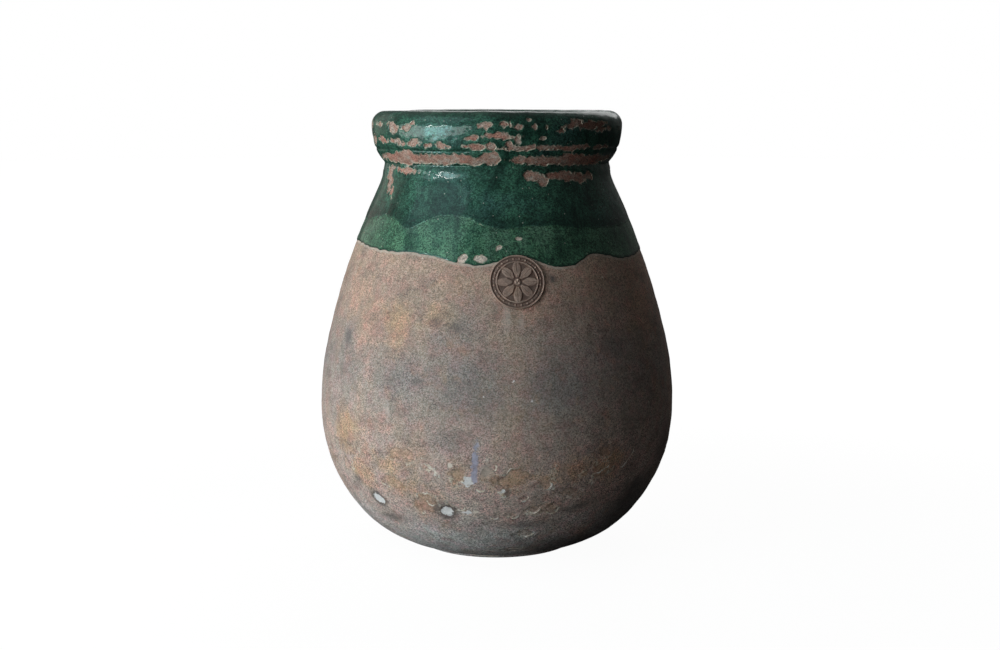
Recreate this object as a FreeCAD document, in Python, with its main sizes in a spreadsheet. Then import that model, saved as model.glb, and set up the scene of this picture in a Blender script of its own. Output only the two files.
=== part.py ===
import FreeCAD, Part
import math
import os
from collections import namedtuple
from enum import IntEnum

import Sketcher

# Olive jar: egg-shaped earthenware, raised in bands, with a glazed top and a stamped seal
# Millimetres, +Z up, the origin in the middle of the foot, the seal towards -Y

SIZES = {
    # Wall: main radii and heights
    "foot_radius": 109.0,
    "foot_edge": 4.0,
    "slab_height": 24.0,
    "belly_height": 194.0,
    "belly_radius": 244.9,
    "neck_seam_height": 475.0,
    "wall": 15.5,
    "seam_ridge": 5.0,
    # Seams between the bands: a rise is a share of the height between the places below and above, and
    # a reach a share of the way from the foot's or the neck's radius out to the belly's
    "lower_seam_rise": 0.34,
    "lower_seam_reach": 0.694,
    "shoulder_seam_rise": 0.377,
    "shoulder_seam_reach": 0.861,
    "neck_seam_reach": 0.2045,
    # Neck and rim: the roll and the band's foot reach shares of the overhang
    "neck_radius": 153.0,
    "neck_curve": 62.8,
    "roll_rise": 1.0,
    "roll_height": 17.0,
    "roll_bulge": 1.2,
    "roll_reach": 0.68,
    "band_foot_reach": 0.765,
    "groove_width": 4.0,
    "groove_depth": 1.6,
    "rim_overhang": 17.3,
    "rim_height": 68.6,
    "lip_round": 18.0,
    "mouth_round": 9.0,
    # Glaze
    "first_glaze_thickness": 0.6,
    "second_glaze_thickness": 0.6,
    "inner_glaze_thickness": 0.8,
    "first_hem_drop": 118.1,
    "second_hem_drop": 76.8,
    "hem_wave": 10.0,
    # Seal: its place under the first coat's edge, and shares of its radius for the stamp's figures
    "seal_drop": 25.3,
    "seal_turn": 7.4,
    "seal_radius": 34.5,
    "seal_field": 2.2,
    "seal_relief": 3.6,
    "seal_border": 2.8,
    "seal_ring_share": 0.74,
    "seal_ring_width": 1.8,
    "seal_bead_share": 0.84,
    "seal_bead_radius": 1.3,
    "seal_beads": 24,
    "seal_boss_share": 0.12,
    "seal_petal_start_share": 0.175,
    "seal_petal_end_share": 0.62,
    "seal_petal_bulge_share": 0.22,
    "seal_petals": 8,
}

# Seams of the wall that follow the wall's slope, from the bottom up
SLOPED_SEAMS = ("lower", "belly", "shoulder", "neck", "throat")

# Each formula may use the sizes and the values above it. A name that ends in _r is a distance from
# the jar's axis, and one that ends in _z a height. The sine and cosine are of the wall's lean, which
# is zero where the wall stands upright
FORMULAS = {
    # Lean and outer corner of each seam. Each arc of the outline leaves the one before it smoothly
    "belly_sine": "0",
    "belly_cosine": "1",
    "belly_over_foot": "Size.belly_radius - Size.foot_radius",
    "belly_over_neck": "Size.belly_radius - Size.neck_radius",
    "belly_outer_r": "Size.belly_radius",
    "belly_outer_z": "Size.belly_height",
    "lower_outer_r": "Size.foot_radius + Size.lower_seam_reach * belly_over_foot",
    "lower_outer_z": "Size.lower_seam_rise * Size.belly_height",
    "under_belly_run_r": "belly_outer_r - lower_outer_r",
    "under_belly_run_z": "belly_outer_z - lower_outer_z",
    "under_belly_curve": "(under_belly_run_r ^ 2 + under_belly_run_z ^ 2) / (2 * under_belly_run_r)",
    "lower_sine": "-under_belly_run_z / under_belly_curve",
    "lower_cosine": "sqrt(1 - lower_sine ^ 2)",
    "shoulder_outer_r": "Size.neck_radius + Size.shoulder_seam_reach * belly_over_neck",
    "shoulder_outer_z": "belly_outer_z + Size.shoulder_seam_rise * (Size.neck_seam_height - belly_outer_z)",
    "belly_run_r": "belly_outer_r - shoulder_outer_r",
    "belly_run_z": "shoulder_outer_z - belly_outer_z",
    "belly_curve": "(belly_run_r ^ 2 + belly_run_z ^ 2) / (2 * belly_run_r)",
    "shoulder_sine": "belly_run_z / belly_curve",
    "shoulder_cosine": "sqrt(1 - shoulder_sine ^ 2)",
    "neck_outer_r": "Size.neck_radius + Size.neck_seam_reach * belly_over_neck",
    "neck_outer_z": "Size.neck_seam_height",
    "shoulder_run_r": "shoulder_outer_r - neck_outer_r",
    "shoulder_run_z": "neck_outer_z - shoulder_outer_z",
    "shoulder_turn": "shoulder_run_r * shoulder_cosine - shoulder_run_z * shoulder_sine",
    "shoulder_curve": "(shoulder_run_r ^ 2 + shoulder_run_z ^ 2) / (2 * shoulder_turn)",
    "neck_sine": "shoulder_sine + shoulder_run_z / shoulder_curve",
    "neck_cosine": "sqrt(1 - neck_sine ^ 2)",
    # The cone runs on from the shoulder until it meets the hollow of the neck
    "cone_outer_r": "Size.neck_radius + Size.neck_curve * (1 - neck_cosine)",
    "cone_outer_z": "neck_outer_z + (neck_outer_r - cone_outer_r) * neck_cosine / neck_sine",
    "cone_inner_r": "cone_outer_r - Size.wall * neck_cosine",
    "cone_inner_z": "cone_outer_z - Size.wall * neck_sine",
    "throat_sine": "0",
    "throat_cosine": "1",
    "throat_outer_r": "Size.neck_radius",
    "throat_outer_z": "cone_outer_z + Size.neck_curve * neck_sine",
    # The arc of the lowest band leaves the seam above it smoothly and ends on the foot
    "foot_run_r": "lower_outer_r - Size.foot_radius",
    "foot_run_z": "lower_outer_z - Size.foot_edge",
    "foot_turn": "foot_run_r * lower_cosine + foot_run_z * lower_sine",
    "lower_curve": "(foot_run_r ^ 2 + foot_run_z ^ 2) / (2 * foot_turn)",
    "lower_centre_r": "lower_outer_r - lower_curve * lower_cosine",
    "lower_centre_z": "lower_outer_z - lower_curve * lower_sine",
    "slab_dip": "lower_centre_z - Size.slab_height",
    "slab_outer_r": "lower_centre_r + sqrt(lower_curve ^ 2 - slab_dip ^ 2)",
    "slab_outer_z": "Size.slab_height",
    "slab_inner_r": "lower_centre_r + sqrt((lower_curve - Size.wall) ^ 2 - slab_dip ^ 2)",
    "slab_inner_z": "Size.slab_height",
    "slab_ridge_r": "(slab_outer_r + slab_inner_r) / 2",
    "slab_ridge_z": "Size.slab_height + Size.seam_ridge",
    "foot_corner_r": "Size.foot_radius",
    "foot_corner_z": "Size.foot_edge",
    "foot_ground_r": "Size.foot_radius",
    "foot_ground_z": "0",
    "axis_ground_r": "0",
    "axis_ground_z": "0",
    "axis_floor_r": "0",
    "axis_floor_z": "Size.slab_height",
    # Inner arcs share the centres of the outer ones
    "lower_curve_inside": "lower_curve - Size.wall",
    "under_belly_curve_inside": "under_belly_curve - Size.wall",
    "belly_curve_inside": "belly_curve - Size.wall",
    "shoulder_curve_inside": "shoulder_curve - Size.wall",
    "neck_curve_inside": "Size.neck_curve + Size.wall",
    # Rim, from the neck up over the lip and down into the mouth
    "roll_foot_r": "Size.neck_radius",
    "roll_foot_z": "throat_outer_z + Size.roll_rise",
    "roll_top_r": "Size.neck_radius + Size.roll_reach * Size.rim_overhang",
    "roll_top_z": "roll_foot_z + Size.roll_height",
    "roll_run": "roll_top_r - roll_foot_r",
    "roll_span": "sqrt(roll_run ^ 2 + Size.roll_height ^ 2)",
    "roll_curve": "(roll_span ^ 2 / 4 + Size.roll_bulge ^ 2) / (2 * Size.roll_bulge)",
    "band_foot_r": "Size.neck_radius + Size.band_foot_reach * Size.rim_overhang",
    "band_foot_z": "roll_top_z + Size.groove_width",
    "groove_run": "band_foot_r - roll_top_r",
    "groove_span": "sqrt(groove_run ^ 2 + Size.groove_width ^ 2)",
    "groove_curve": "(groove_span ^ 2 / 4 + Size.groove_depth ^ 2) / (2 * Size.groove_depth)",
    "band_top_r": "Size.neck_radius + Size.rim_overhang",
    "band_top_z": "throat_outer_z + Size.rim_height - Size.lip_round",
    # The band swells until it runs smoothly into the lip
    "band_run_r": "band_top_r - band_foot_r",
    "band_run_z": "band_top_z - band_foot_z",
    "band_curve": "(band_run_r ^ 2 + band_run_z ^ 2) / (2 * band_run_r)",
    "lip_outer_r": "band_top_r - Size.lip_round",
    "lip_outer_z": "throat_outer_z + Size.rim_height",
    "lip_inner_r": "Size.neck_radius - Size.wall + Size.mouth_round",
    "lip_inner_z": "lip_outer_z",
    "mouth_top_r": "Size.neck_radius - Size.wall",
    "mouth_top_z": "lip_outer_z - Size.mouth_round",
    # Place of the seal on the shoulder, and the stamp's figures
    "seal_z": "throat_outer_z - Size.first_hem_drop - Size.seal_drop",
    "seal_sine": "shoulder_sine + (seal_z - shoulder_outer_z) / shoulder_curve",
    "seal_cosine": "sqrt(1 - seal_sine ^ 2)",
    "seal_r": "shoulder_outer_r - shoulder_curve * (shoulder_cosine - seal_cosine)",
    "stamp_reach": "2 * (Size.seal_relief + Size.seal_radius ^ 2 / seal_r)",
    "seal_border_inside": "Size.seal_radius - Size.seal_border",
    "seal_ring_radius": "Size.seal_radius * Size.seal_ring_share",
    "seal_ring_inside": "seal_ring_radius - Size.seal_ring_width",
    "seal_bead_circle": "Size.seal_radius * Size.seal_bead_share",
    "seal_boss_radius": "Size.seal_radius * Size.seal_boss_share",
    "seal_petal_start": "Size.seal_radius * Size.seal_petal_start_share",
    "seal_petal_end": "Size.seal_radius * Size.seal_petal_end_share",
    "petal_length": "seal_petal_end - seal_petal_start",
    "petal_bulge": "petal_length * Size.seal_petal_bulge_share",
    "petal_curve": "(petal_length ^ 2 / 4 + petal_bulge ^ 2) / (2 * petal_bulge)",
}
for seam in SLOPED_SEAMS:
    FORMULAS[f"{seam}_inner_r"] = f"{seam}_outer_r - Size.wall * {seam}_cosine"
    FORMULAS[f"{seam}_inner_z"] = f"{seam}_outer_z - Size.wall * {seam}_sine"
    FORMULAS[f"{seam}_ridge_r"] = f"({seam}_outer_r + {seam}_inner_r) / 2 - Size.seam_ridge * {seam}_sine"
    FORMULAS[f"{seam}_ridge_z"] = f"({seam}_outer_z + {seam}_inner_z) / 2 + Size.seam_ridge * {seam}_cosine"

# Lower edges of the two coats: turn in degrees to the right of the front, and height above the mean
# edge in waves. The first edge lifts over the seal and hangs lowest just to the right of it
FIRST_HEM = (
    (-180, 0.2), (-150, -0.5), (-125, 0.4), (-100, 0.9), (-71, 1.3), (-50, 0.8), (-22, 0.4),
    (-12, -0.35), (0, -0.1), (10, 0.6), (18, -0.35), (24, -0.8), (31, -0.5), (38, 0.6),
    (46, 0.3), (60, -0.4), (80, 0.0), (105, -0.6), (130, 0.3), (155, -0.3),
)
SECOND_HEM = (
    (-180, 0.3), (-140, -0.4), (-105, 0.5), (-70, 0.2), (-45, 0.3), (-38, -0.45), (-31, 0.55),
    (-9, 0.7), (-4, 0.1), (14, 0.0), (40, -0.35), (75, -0.2), (110, 0.4), (145, -0.3),
)


class Way(IntEnum):
    """Side to which an arc turns from the way the outline runs"""
    LEFT = 1
    RIGHT = -1


class Point(IntEnum):
    """Points of an edge in a sketch"""
    START = 1
    END = 2
    MIDDLE = 3


class Line(IntEnum):
    """A sketch's own axes"""
    GROUND = -1
    AXIS = -2


# A round edge of an outline, by the name of its radius and the side to which it turns
Arc = namedtuple("Arc", "curve turn")
CENTRE = (Line.GROUND, Point.START)

UPRIGHT = FreeCAD.Rotation(FreeCAD.Vector(1, 0, 0), 90)
ZENITH = FreeCAD.Vector(0, 0, 1)

doc = FreeCAD.newDocument("OliveJar")


def fill_sheet(name, cells, prefix):
    """A sheet with one named cell to a row"""
    sheet = doc.addObject("Spreadsheet::Sheet", name)
    for row, (alias, content) in enumerate(cells.items(), start=1):
        sheet.set(f"A{row}", alias)
        sheet.set(f"B{row}", f"{prefix}{content}")
        sheet.setAlias(f"B{row}", alias)
    doc.recompute()
    return sheet


size_sheet = fill_sheet("Size", SIZES, "")
shape_sheet = fill_sheet("Shape", FORMULAS, "=")


def cell(alias):
    """The name that an expression uses for a size or a worked-out value"""
    return f"Size.{alias}" if alias in SIZES else f"Shape.{alias}"


def value(alias):
    """The number in a size's or a worked-out value's cell"""
    return float(size_sheet.get(alias) if alias in SIZES else shape_sheet.get(alias))


def tie(sketch, constraint, alias):
    """Add a dimension to a sketch and bind it to a cell"""
    index = sketch.addConstraint(constraint)
    sketch.setExpression(f"Constraints[{index}]", cell(alias))


def fix_corner(sketch, edge, end, corner):
    """Hold one end of an edge at a named corner"""
    if value(f"{corner}_r") == 0:
        sketch.addConstraint(Sketcher.Constraint("PointOnObject", edge, end, Line.AXIS))
    else:
        radius = value(f"{corner}_r")
        tie(sketch, Sketcher.Constraint("DistanceX", *CENTRE, edge, end, radius), f"{corner}_r")
    if value(f"{corner}_z") == 0:
        sketch.addConstraint(Sketcher.Constraint("PointOnObject", edge, end, Line.GROUND))
    else:
        height = value(f"{corner}_z")
        tie(sketch, Sketcher.Constraint("DistanceY", *CENTRE, edge, end, height), f"{corner}_z")


def add_arc(sketch, start, finish, radius, turn):
    """The shorter arc from start to finish, and which of its ends is which"""
    chord = finish - start
    side = FreeCAD.Vector(-chord.y, chord.x, 0).normalize() * turn
    centre = (start + finish) * 0.5 + side * math.sqrt(radius ** 2 - chord.Length ** 2 / 4)
    begin = math.atan2(start.y - centre.y, start.x - centre.x)
    end = math.atan2(finish.y - centre.y, finish.x - centre.x)
    circle = Part.Circle(centre, ZENITH, radius)
    if turn == Way.LEFT:
        return sketch.addGeometry(Part.ArcOfCircle(circle, begin, end)), Point.START, Point.END
    return sketch.addGeometry(Part.ArcOfCircle(circle, end, begin)), Point.END, Point.START


def draw(sketch, outline, closed):
    """Draw an outline through named corners, straight unless an Arc stands between two of them"""
    corners = []
    arcs = {}
    for item in outline:
        if isinstance(item, Arc):
            arcs[len(corners) - 1] = item
        else:
            corners.append(item)
    points = [FreeCAD.Vector(value(f"{name}_r"), value(f"{name}_z"), 0) for name in corners]
    count = len(corners) if closed else len(corners) - 1
    ends = []
    for index in range(count):
        start = points[index]
        finish = points[(index + 1) % len(points)]
        if index in arcs:
            curve, turn = arcs[index]
            edge, first, last = add_arc(sketch, start, finish, value(curve), turn)
            tie(sketch, Sketcher.Constraint("Radius", edge, value(curve)), curve)
        else:
            edge = sketch.addGeometry(Part.LineSegment(start, finish))
            first, last = Point.START, Point.END
        ends.append((edge, first, last))
        fix_corner(sketch, edge, first, corners[index])
    for (edge, _, last), (following, first, _) in zip(ends, ends[1:] + ends[:1] * closed):
        sketch.addConstraint(Sketcher.Constraint("Coincident", edge, last, following, first))
    if not closed:
        fix_corner(sketch, ends[-1][0], ends[-1][2], corners[-1])


def plane_of(body, role):
    """One of a body's own origin planes"""
    return next(item for item in body.Origin.OriginFeatures if item.Role == role)


def turned(label, outline):
    """A piece turned about the jar's axis from its half section"""
    body = doc.addObject("PartDesign::Body", label)
    sketch = body.newObject("Sketcher::SketchObject", f"{label}_section")
    sketch.AttachmentSupport = [(plane_of(body, "XZ_Plane"), "")]
    sketch.MapMode = "FlatFace"
    draw(sketch, outline, closed=True)
    turn = body.newObject("PartDesign::Revolution", f"{label}_turn")
    turn.Profile = sketch
    turn.ReferenceAxis = (sketch, ["V_Axis"])
    turn.Angle = 360
    return body


def wall_band(label, below, above, curve):
    """A ring of wall between two seams: a groove underneath and a ridge on top"""
    return turned(label, [
        f"{below}_outer", Arc(curve, Way.LEFT), f"{above}_outer", f"{above}_ridge",
        f"{above}_inner", Arc(f"{curve}_inside", Way.RIGHT), f"{below}_inner", f"{below}_ridge",
    ])


def open_line(label, outline):
    """A line in the half section that coats are built on"""
    sketch = doc.addObject("Sketcher::SketchObject", label)
    sketch.Placement = FreeCAD.Placement(FreeCAD.Vector(), UPRIGHT)
    draw(sketch, outline, closed=False)
    return sketch


def offset(label, source, thickness, filled):
    """A line beside another one, or the strip between the two"""
    strip = doc.addObject("Part::Offset2D", label)
    strip.Source = source
    strip.Mode = "Skin"
    strip.Join = "Arc"
    strip.Fill = filled
    strip.setExpression("Value", thickness)
    return strip


def coat(label, strip):
    """A layer turned about the jar's axis from a strip of the half section"""
    layer = doc.addObject("Part::Revolution", label)
    layer.Source = strip
    layer.Axis = ZENITH
    layer.Angle = 360
    layer.Solid = True
    return layer


def boolean(kind, label, base, tool):
    """A cut, a common or a fuse of two objects"""
    result = doc.addObject(f"Part::{kind}", label)
    result.Base = base
    result.Tool = tool
    return result


def below_hem(label, hem, drop):
    """All of the space under a wavy hem, for cutting a coat to its lower edge"""
    middle = value("throat_outer_z") - value(drop)
    turns = [turn for turn, _ in hem] + [hem[0][0] + 360]
    rings = []
    for radius in (value("throat_inner_r"), value("belly_radius")):
        points = []
        for turn, wave in hem:
            angle = math.radians(turn)
            height = middle + wave * value("hem_wave")
            points.append(FreeCAD.Vector(radius * math.sin(angle), -radius * math.cos(angle), height))
        ring = Part.BSplineCurve()
        ring.interpolate(Points=points, PeriodicFlag=True, Parameters=turns)
        rings.append(ring.toShape())
    tool = doc.addObject("Part::Feature", label)
    tool.Shape = Part.makeRuledSurface(*rings).extrude(ZENITH * -middle)
    return tool


def stamp_pad(body, label, draw_motif, length):
    """A motif of the stamp, raised from the back of the stamp through the face of the wall"""
    sketch = body.newObject("Sketcher::SketchObject", f"{label}_outline")
    sketch.AttachmentSupport = [(plane_of(body, "XY_Plane"), "")]
    sketch.MapMode = "FlatFace"
    sketch.setExpression("AttachmentOffset.Base.z", "-Shape.stamp_reach")
    draw_motif(sketch)
    pad = body.newObject("PartDesign::Pad", label)
    pad.Profile = sketch
    pad.setExpression("Length", length)
    return pad, sketch


def round_motif(*radii):
    """Circles about the stamp's centre"""
    def draw_motif(sketch):
        for alias in radii:
            circle = Part.Circle(FreeCAD.Vector(), ZENITH, value(alias))
            edge = sketch.addGeometry(circle)
            sketch.addConstraint(Sketcher.Constraint("Coincident", edge, Point.MIDDLE, *CENTRE))
            tie(sketch, Sketcher.Constraint("Radius", edge, value(alias)), alias)
    return draw_motif


def bead_motif(sketch):
    """One bead, straight above the stamp's centre"""
    distance = value("seal_bead_circle")
    radius = value("seal_bead_radius")
    edge = sketch.addGeometry(Part.Circle(FreeCAD.Vector(0, distance, 0), ZENITH, radius))
    sketch.addConstraint(Sketcher.Constraint("PointOnObject", edge, Point.MIDDLE, Line.AXIS))
    tie(sketch, Sketcher.Constraint("DistanceY", *CENTRE, edge, Point.MIDDLE, distance), "seal_bead_circle")
    tie(sketch, Sketcher.Constraint("Radius", edge, radius), "seal_bead_radius")


def petal_motif(sketch):
    """One petal between two arcs, straight above the stamp's centre"""
    start = FreeCAD.Vector(0, value("seal_petal_start"), 0)
    finish = FreeCAD.Vector(0, value("seal_petal_end"), 0)
    right, right_start, right_end = add_arc(sketch, start, finish, value("petal_curve"), Way.LEFT)
    left, left_start, left_end = add_arc(sketch, finish, start, value("petal_curve"), Way.LEFT)
    for end, alias in ((right_start, "seal_petal_start"), (right_end, "seal_petal_end")):
        sketch.addConstraint(Sketcher.Constraint("PointOnObject", right, end, Line.AXIS))
        tie(sketch, Sketcher.Constraint("DistanceY", *CENTRE, right, end, value(alias)), alias)
    sketch.addConstraint(Sketcher.Constraint("Coincident", right, right_end, left, left_start))
    sketch.addConstraint(Sketcher.Constraint("Coincident", left, left_end, right, right_start))
    for edge in (right, left):
        tie(sketch, Sketcher.Constraint("Radius", edge, value("petal_curve")), "petal_curve")


def ring_of(body, label, pad, sketch, count):
    """Copies of a motif around the stamp's centre"""
    pattern = body.newObject("PartDesign::PolarPattern", label)
    pattern.Originals = [pad]
    pattern.Axis = (sketch, ["N_Axis"])
    pattern.Angle = 360
    pattern.setExpression("Occurrences", count)
    body.Tip = pattern


def make_wall():
    """The base slab, the four bands, the neck and the rim"""
    slab = turned("foot_slab", [
        "axis_ground", "foot_ground", "foot_corner", Arc("lower_curve", Way.LEFT),
        "slab_outer", "slab_ridge", "slab_inner", "axis_floor",
    ])
    bands = [
        wall_band("lower_wall", "slab", "lower", "lower_curve"),
        wall_band("under_belly_wall", "lower", "belly", "under_belly_curve"),
        wall_band("belly_wall", "belly", "shoulder", "belly_curve"),
        wall_band("shoulder_wall", "shoulder", "neck", "shoulder_curve"),
    ]
    neck = turned("neck_collar", [
        "neck_outer", "cone_outer", Arc("neck_curve", Way.RIGHT), "throat_outer", "throat_ridge",
        "throat_inner", Arc("neck_curve_inside", Way.LEFT), "cone_inner", "neck_inner", "neck_ridge",
    ])
    rim = turned("rim_collar", [
        "throat_outer", "roll_foot", Arc("roll_curve", Way.LEFT), "roll_top",
        Arc("groove_curve", Way.RIGHT), "band_foot", Arc("band_curve", Way.LEFT), "band_top",
        Arc("lip_round", Way.LEFT), "lip_outer", "lip_inner",
        Arc("mouth_round", Way.LEFT), "mouth_top", "throat_inner", "throat_ridge",
    ])
    return [slab, *bands, neck, rim]


def make_seal():
    """A pad of clay that follows the shoulder, with a border, beads, a ring and a plain rosette"""
    stamp = doc.addObject("PartDesign::Body", "stamp")
    through = "2 * Shape.stamp_reach"
    stamp_pad(stamp, "stamp_back", round_motif("seal_radius"), "Shape.stamp_reach / 2")
    stamp_pad(stamp, "stamp_border", round_motif("seal_radius", "seal_border_inside"), through)
    stamp_pad(stamp, "stamp_ring", round_motif("seal_ring_radius", "seal_ring_inside"), through)
    stamp_pad(stamp, "stamp_boss", round_motif("seal_boss_radius"), through)
    bead, bead_sketch = stamp_pad(stamp, "stamp_bead", bead_motif, through)
    ring_of(stamp, "stamp_beads", bead, bead_sketch, "Size.seal_beads")
    petal, petal_sketch = stamp_pad(stamp, "stamp_petal", petal_motif, through)
    ring_of(stamp, "stamp_petals", petal, petal_sketch, "Size.seal_petals")

    disc = doc.addObject("Part::Cylinder", "seal_disc")
    disc.setExpression("Radius", "Size.seal_radius")
    disc.setExpression("Height", "Shape.stamp_reach")

    # The stamp stands square on the shoulder, turned to its place on the right of the front
    place = "create(<<vector>>; Shape.seal_r * sin(Size.seal_turn);"
    place += " -Shape.seal_r * cos(Size.seal_turn); Shape.seal_z)"
    facing = "create(<<rotation>>; Size.seal_turn; 0; acos(Shape.seal_sine))"
    stamp.setExpression("Placement", f"create(<<placement>>; {place}; {facing})")
    sunk = "create(<<placement>>; create(<<vector>>; 0; 0; -Shape.stamp_reach / 2);"
    sunk += " create(<<rotation>>; 0; 0; 0))"
    disc.setExpression("Placement", f"stamp.Placement * {sunk}")

    face = open_line("seal_bed", ["shoulder_outer", Arc("shoulder_curve", Way.LEFT), "neck_outer"])
    low = coat("seal_field_layer", offset("seal_field_strip", face, "-Size.seal_field", True))
    high = coat("seal_relief_layer", offset("seal_relief_strip", face, "-Size.seal_relief", True))
    field = boolean("Common", "seal_plain", low, disc)
    relief = boolean("Common", "seal_raised", high, stamp)
    return boolean("Fuse", "seal_medallion", field, relief), disc


def make_glaze(seal_disc):
    """Two coats over lip, rim, neck and shoulder, and the lining"""
    face = open_line("glaze_bed", [
        "shoulder_outer", Arc("shoulder_curve", Way.LEFT), "neck_outer", "cone_outer",
        Arc("neck_curve", Way.RIGHT), "throat_outer", "roll_foot", Arc("roll_curve", Way.LEFT), "roll_top",
        Arc("groove_curve", Way.RIGHT), "band_foot", Arc("band_curve", Way.LEFT), "band_top",
        Arc("lip_round", Way.LEFT), "lip_outer", "lip_inner",
    ])
    first_layer = coat("first_layer", offset("first_strip", face, "-Size.first_glaze_thickness", True))
    first_hem = below_hem("first_hem", FIRST_HEM, "first_hem_drop")
    first_run = boolean("Cut", "first_run", first_layer, first_hem)
    first = boolean("Cut", "first_glaze", first_run, seal_disc)

    over = offset("second_bed", face, "-Size.first_glaze_thickness", False)
    second_layer = coat("second_layer", offset("second_strip", over, "-Size.second_glaze_thickness", True))
    second_hem = below_hem("second_hem", SECOND_HEM, "second_hem_drop")
    second = boolean("Cut", "second_glaze", second_layer, second_hem)

    inside = open_line("lining_bed", [
        "axis_floor", "slab_inner", Arc("lower_curve_inside", Way.LEFT), "lower_inner",
        Arc("under_belly_curve_inside", Way.LEFT), "belly_inner", Arc("belly_curve_inside", Way.LEFT),
        "shoulder_inner", Arc("shoulder_curve_inside", Way.LEFT), "neck_inner", "cone_inner",
        Arc("neck_curve_inside", Way.RIGHT), "throat_inner", "mouth_top",
        Arc("mouth_round", Way.RIGHT), "lip_inner",
    ])
    lining = coat("inner_glaze", offset("lining_strip", inside, "Size.inner_glaze_thickness", True))
    return [first, second, lining]


wall = make_wall()
seal, seal_disc = make_seal()
glaze = make_glaze(seal_disc)
pieces = [*wall, seal, *glaze]
doc.recompute()

for item in doc.Objects:
    if {"Invalid", "Error"} & set(item.State):
        raise RuntimeError(f"{item.Label} could not be made")
for piece in pieces:
    if piece.Shape.isNull() or not piece.Shape.isValid():
        raise RuntimeError(f"{piece.Label} has no valid shape")

os.makedirs("parts", exist_ok=True)
for piece in pieces:
    piece.Shape.exportStep(f"parts/{piece.Label}.step")
    print(piece.Label, len(piece.Shape.Solids), round(piece.Shape.Volume), piece.Shape.BoundBox)
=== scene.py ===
from math import atan2, cos, pi, radians, sin, tau

import bmesh
import bpy
import numpy as np
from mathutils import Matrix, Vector
from mathutils.bvhtree import BVHTree


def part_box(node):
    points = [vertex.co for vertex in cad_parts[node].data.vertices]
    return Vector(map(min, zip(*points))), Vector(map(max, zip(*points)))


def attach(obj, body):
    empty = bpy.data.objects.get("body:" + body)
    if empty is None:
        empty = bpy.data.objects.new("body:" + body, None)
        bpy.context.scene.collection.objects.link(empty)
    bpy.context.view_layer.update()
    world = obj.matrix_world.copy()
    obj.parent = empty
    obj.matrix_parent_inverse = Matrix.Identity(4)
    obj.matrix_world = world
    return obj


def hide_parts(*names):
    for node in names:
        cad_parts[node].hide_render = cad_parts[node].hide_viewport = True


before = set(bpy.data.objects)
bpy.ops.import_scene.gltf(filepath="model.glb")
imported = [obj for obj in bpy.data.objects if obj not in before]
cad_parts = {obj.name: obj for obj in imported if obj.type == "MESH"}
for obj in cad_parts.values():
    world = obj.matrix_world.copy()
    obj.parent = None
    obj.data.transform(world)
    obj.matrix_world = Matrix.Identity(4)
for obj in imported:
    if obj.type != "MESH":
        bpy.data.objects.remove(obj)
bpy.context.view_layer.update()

MM = 0.001

# The jar's own heights and sizes, read from the frame
BASE_NODES = ("foot_slab", "lower_wall", "under_belly_wall")
MIDDLE_NODES = ("belly_wall", "shoulder_wall")
TOP_NODES = ("neck_collar", "rim_collar")
FLOOR_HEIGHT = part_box("foot_slab")[1].z
BELLY_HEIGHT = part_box("belly_wall")[0].z
NECK_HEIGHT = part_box("neck_collar")[0].z
THROAT_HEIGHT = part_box("rim_collar")[0].z
LIP_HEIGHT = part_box("rim_collar")[1].z
BELLY_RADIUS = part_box("belly_wall")[1].x
GLAZE_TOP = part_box("second_glaze")[1].z
COAT = (GLAZE_TOP - LIP_HEIGHT) / 2
OUTSIDE = 2 * BELLY_RADIUS

# Steps between the rows of the meshes, and points round each row
LINE_STEP = 0.5 * MM
UNDER_STEP = 6 * MM
BODY_STEP = 2.5 * MM
RIM_STEP = 1.8 * MM
INSIDE_STEP = 9 * MM
LIGHT_STEP = 1.5 * MM
DARK_STEP = 1.75 * MM
LINING_STEP = 3.2 * MM
BODY_TURNS = 640
COAT_TURNS = 800
LINING_TURNS = 320
HEM_TURNS = 240
SEAL_RINGS = 64
SEAL_TURNS = 288

# The radius that sets the lumps of the random fields, and a distance in mm outside every patch
MEAN_RADIUS = 0.19
NOWHERE = -50.0

# The coats: rows below the hem, the light one's reach under the dark, the dark one's over the lip
HEM_MARGIN = 4 * MM
UNDERLAP = 22 * MM
LIP_REACH = 16 * MM
SEAT_DEPTH = 0.5 * MM

# The stage
FLOOR_RADIUS = 14
ROOM_COLOUR = (0.066, 0.064, 0.062)
WHITE_LIGHT = (1, 1, 1)
BACKDROP_EDGE = (0.985, 0.999)
LAMP_AIM = (0, 0, 0.42)
LAMP_DISTANCE = 2.2
CAMERA_PLACE = (0.0044, -2.2, 0.6194)
CAMERA_DOWN = 8.18
CAMERA_LENS = 57.34
CAMERA_SENSOR = 36


# Reading the jar's outline from the frame

def tree_of(names):
    """One tree for rays of the named nodes."""
    mesh = bmesh.new()
    for name in names:
        mesh.from_mesh(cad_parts[name].data)
    tree = BVHTree.FromBMesh(mesh)
    mesh.free()
    return tree


def side_radius(tree, height, inside=False):
    """Radius where a level ray at the back of the jar meets the wall, from outside or from the axis."""
    start = Vector((0, 0 if inside else OUTSIDE, height))
    return tree.ray_cast(start, Vector((0, 1 if inside else -1, 0)))[0].y


def top_height(tree, radius):
    """Height at which a ray straight down meets the lip."""
    return tree.ray_cast(Vector((0, radius, OUTSIDE + LIP_HEIGHT)), Vector((0, 0, -1)))[0].z


def smoothed(line, width):
    """A closely and evenly stepped line, evened out over about the given number of points."""
    reach = int(3 * width)
    kernel = np.exp(-0.5 * (np.arange(-reach, reach + 1) / width) ** 2)
    kernel /= kernel.sum()
    padded = np.pad(line, ((reach, reach), (0, 0)), mode="reflect", reflect_type="odd")
    return np.stack([np.convolve(padded[:, i], kernel, "valid") for i in range(2)], axis=1)


def lengths(line):
    """Length along a line up to each of its points."""
    return np.concatenate([[0], np.cumsum(np.hypot(*np.diff(line, axis=0).T))])


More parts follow.
